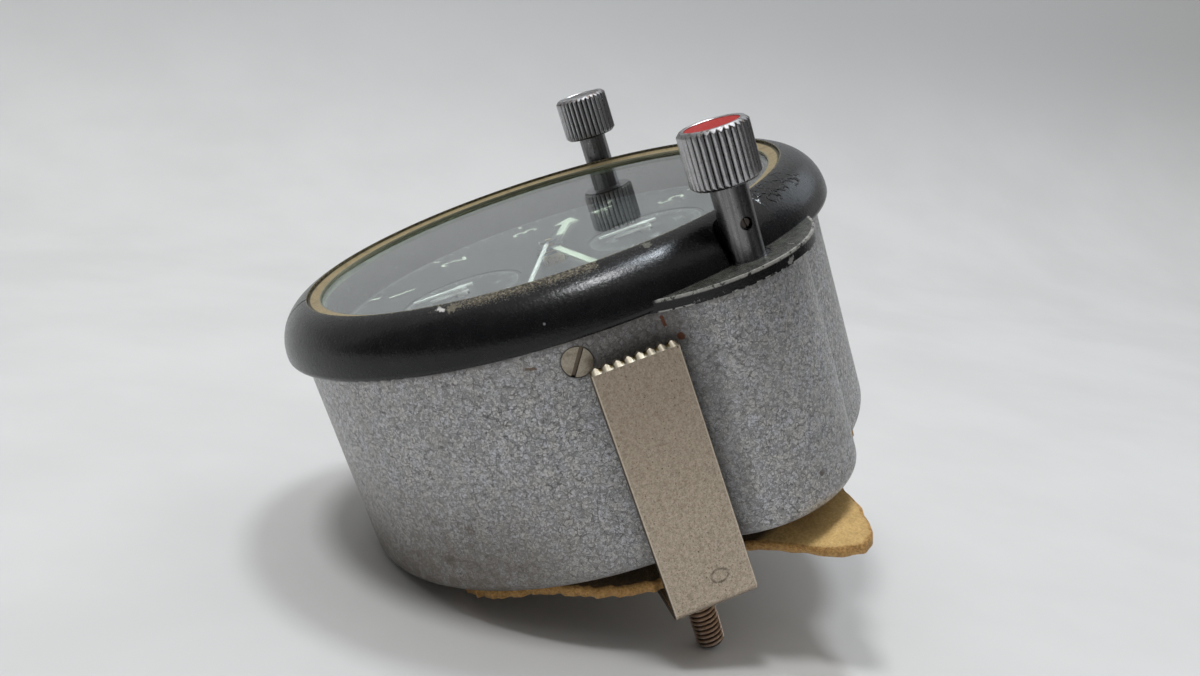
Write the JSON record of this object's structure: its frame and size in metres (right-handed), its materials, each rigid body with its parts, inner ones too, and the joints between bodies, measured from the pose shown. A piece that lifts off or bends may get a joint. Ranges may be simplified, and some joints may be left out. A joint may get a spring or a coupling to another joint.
{
  "type": "aircraft clock",
  "caption": "Panel-mounted aircraft clock: round grey case with two ears, black bezel, glass over a dial, fluted push-and-turn knobs and rear clamp straps with screws.",
  "frame": {"origin": "centre of the bezel's rear face, where it lies on the front of the panel, on the dial's axis", "axes": "+Z out of the dial towards the reader, +Y towards 12 o'clock, +X towards 3 o'clock"},
  "size_m": [0.0906, 0.0844, 0.0684],
  "materials": {
    "case_paint": "silver-grey hammertone paint with fine speckle",
    "bezel_paint": "satin black paint, worn at the lip and flange edges",
    "ring_brass": "aged",
    "glass": "clear",
    "gasket": "matt",
    "dial_paint": "matt black",
    "hand_paint": "pale luminous paint",
    "knob_metal": "fluted, satin",
    "red_paint": "gloss red enamel",
    "dark_steel": "browned steel",
    "nickel": "satin nickel plate",
    "steel": "polished",
    "movement_brass": "brushed",
    "leather": "suede side out, torn edges"
  },
  "bodies": {
    "case": {"case_cup": "case_paint", "bezel": "bezel_paint", "glass_ring": "ring_brass", "glass": "glass", "glass_gasket": "gasket", "dial": "dial_paint", "case_screws": "nickel", "left_stem_bush": "steel", "right_stem_bush": "steel", "left_guide_post": "steel", "right_guide_post": "steel", "left_return_spring": "steel", "right_return_spring": "steel", "left_screw_bush": "steel", "right_screw_bush": "steel", "rear_pad": "leather", "front_plate": "movement_brass", "rear_plate": "movement_brass", "plate_pillars": "movement_brass", "pillar_screws": "steel", "plate_screws": "steel", "hairspring": "steel", "idler_post": "steel"},
    "left_push": {"left_push_arm": "movement_brass"},
    "left_knob_set": {"left_knob": "knob_metal", "left_knob_disc": "red_paint", "left_grub_screw": "dark_steel", "left_stem": "steel"},
    "right_push": {"right_push_arm": "movement_brass"},
    "right_knob_set": {"right_knob": "knob_metal", "right_grub_screw": "dark_steel", "right_stem": "steel"},
    "idler": {"winding_idler": "steel"},
    "ratchet": {"ratchet_wheel": "steel"},
    "barrel": {"barrel_drum": "movement_brass", "mainspring": "steel"},
    "minute_set": {"cannon_pinion": "steel", "minute_hand": "hand_paint"},
    "motion": {"minute_wheel": "movement_brass"},
    "hour_set": {"hour_wheel": "movement_brass", "hour_hand": "hand_paint"},
    "centre": {"centre_wheel": "movement_brass"},
    "third": {"third_wheel": "movement_brass"},
    "seconds_set": {"fourth_wheel": "movement_brass", "seconds_hand": "hand_paint"},
    "escape": {"escape_wheel": "steel"},
    "pallet": {"pallet_fork": "steel"},
    "balance": {"balance_wheel": "movement_brass"},
    "flight_minute": {"flight_minute_hand": "hand_paint"},
    "flight_hour": {"flight_hour_hand": "hand_paint"},
    "stopwatch_second": {"stopwatch_second_hand": "hand_paint"},
    "stopwatch_minute": {"stopwatch_minute_hand": "hand_paint"},
    "left_screw": {"left_clamp_screw": "dark_steel"},
    "left_clamp_body": {"left_clamp": "nickel"},
    "right_screw": {"right_clamp_screw": "dark_steel"},
    "right_clamp_body": {"right_clamp": "nickel"}
  },
  "joints": [
    {"name": "left_knob_push", "type": "slide", "parent": "case", "child": "left_push", "axis": [0, 0, 1], "range_m": [-0.0024, 0.003], "stiffness_N_per_m": 600, "deforming": ["left_return_spring"]},
    {"name": "left_knob_turn", "type": "hinge", "parent": "left_push", "child": "left_knob_set", "pos_m": [-0.03775, -0.01841, 0], "axis": [0, 0, -1], "continuous": true},
    {"name": "right_knob_push", "type": "slide", "parent": "case", "child": "right_push", "axis": [0, 0, 1], "range_m": [-0.0024, 0], "stiffness_N_per_m": 600, "deforming": ["right_return_spring"]},
    {"name": "right_knob_turn", "type": "hinge", "parent": "right_push", "child": "right_knob_set", "pos_m": [0.03775, -0.01841, 0], "axis": [0, 0, -1], "range_deg": [0, 60]},
    {"name": "idler_turn", "type": "hinge", "parent": "case", "child": "idler", "pos_m": [-0.02839, -0.01512, 0], "axis": [0, 0, -1], "continuous": true},
    {"name": "ratchet_turn", "type": "hinge", "parent": "case", "child": "ratchet", "pos_m": [-0.01861, -0.00328, 0], "axis": [0, 0, -1], "continuous": true},
    {"name": "seconds_turn", "type": "hinge", "parent": "case", "child": "seconds_set", "pos_m": [0, 0, 0], "axis": [0, 0, -1], "continuous": true},
    {"name": "third_turn", "type": "hinge", "parent": "case", "child": "third", "pos_m": [0.0081, 0.01403, 0], "axis": [0, 0, -1], "continuous": true},
    {"name": "centre_turn", "type": "hinge", "parent": "case", "child": "centre", "pos_m": [0, 0, 0], "axis": [0, 0, -1], "continuous": true},
    {"name": "barrel_turn", "type": "hinge", "parent": "case", "child": "barrel", "pos_m": [-0.01861, -0.00328, 0], "axis": [0, 0, -1], "continuous": true},
    {"name": "escape_turn", "type": "hinge", "parent": "case", "child": "escape", "pos_m": [0.00983, -0.01172, 0], "axis": [0, 0, -1], "continuous": true},
    {"name": "minute_turn", "type": "hinge", "parent": "case", "child": "minute_set", "pos_m": [0, 0, 0], "axis": [0, 0, -1], "continuous": true},
    {"name": "motion_turn", "type": "hinge", "parent": "case", "child": "motion", "pos_m": [0.009, 0, 0], "axis": [0, 0, -1], "continuous": true},
    {"name": "hour_turn", "type": "hinge", "parent": "case", "child": "hour_set", "pos_m": [0, 0, 0], "axis": [0, 0, -1], "continuous": true},
    {"name": "pallet_rock", "type": "hinge", "parent": "case", "child": "pallet", "pos_m": [0.00983, -0.01802, 0], "axis": [0, 0, -1], "range_deg": [-4, 4]},
    {"name": "balance_swing", "type": "hinge", "parent": "case", "child": "balance", "pos_m": [0.00983, -0.02603, 0], "axis": [0, 0, -1], "range_deg": [-220, 220]},
    {"name": "flight_minute_turn", "type": "hinge", "parent": "case", "child": "flight_minute", "pos_m": [0, 0.015, 0], "axis": [0, 0, -1], "continuous": true},
    {"name": "flight_hour_turn", "type": "hinge", "parent": "case", "child": "flight_hour", "pos_m": [0, 0.015, 0], "axis": [0, 0, -1], "continuous": true},
    {"name": "stopwatch_second_turn", "type": "hinge", "parent": "case", "child": "stopwatch_second", "pos_m": [0, -0.015, 0], "axis": [0, 0, -1], "continuous": true},
    {"name": "stopwatch_minute_turn", "type": "hinge", "parent": "case", "child": "stopwatch_minute", "pos_m": [0, -0.015, 0], "axis": [0, 0, -1], "continuous": true},
    {"name": "left_screw_turn", "type": "hinge", "parent": "case", "child": "left_screw", "pos_m": [-0.035, 0, 0], "axis": [0, 0, -1], "range_deg": [-1547, 364]},
    {"name": "left_clamp_slide", "type": "slide", "parent": "case", "child": "left_clamp_body", "axis": [0, 0, 1], "range_m": [-0.003, 0.0007]},
    {"name": "right_screw_turn", "type": "hinge", "parent": "case", "child": "right_screw", "pos_m": [0.035, 0, 0], "axis": [0, 0, -1], "range_deg": [-1547, 364]},
    {"name": "right_clamp_slide", "type": "slide", "parent": "case", "child": "right_clamp_body", "axis": [0, 0, 1], "range_m": [-0.003, 0.0007]}
  ],
  "couplings": [
    {"joint": "idler_turn", "follows": "left_knob_turn", "ratio": -0.24},
    {"joint": "ratchet_turn", "follows": "left_knob_turn", "ratio": 0.26087},
    {"joint": "third_turn", "follows": "seconds_turn", "ratio": -0.13333},
    {"joint": "centre_turn", "follows": "seconds_turn", "ratio": 0.016667},
    {"joint": "barrel_turn", "follows": "seconds_turn", "ratio": -0.0027778},
    {"joint": "escape_turn", "follows": "seconds_turn", "ratio": -7.5},
    {"joint": "motion_turn", "follows": "minute_turn", "ratio": -0.33333},
    {"joint": "hour_turn", "follows": "minute_turn", "ratio": 0.083333},
    {"joint": "flight_hour_turn", "follows": "flight_minute_turn", "ratio": 0.083333},
    {"joint": "stopwatch_minute_turn", "follows": "stopwatch_second_turn", "ratio": 0.016667},
    {"joint": "left_screw_turn", "follows": "left_clamp_slide", "rad_per_m": 8976},
    {"joint": "right_screw_turn", "follows": "right_clamp_slide", "rad_per_m": 8976}
  ]
}
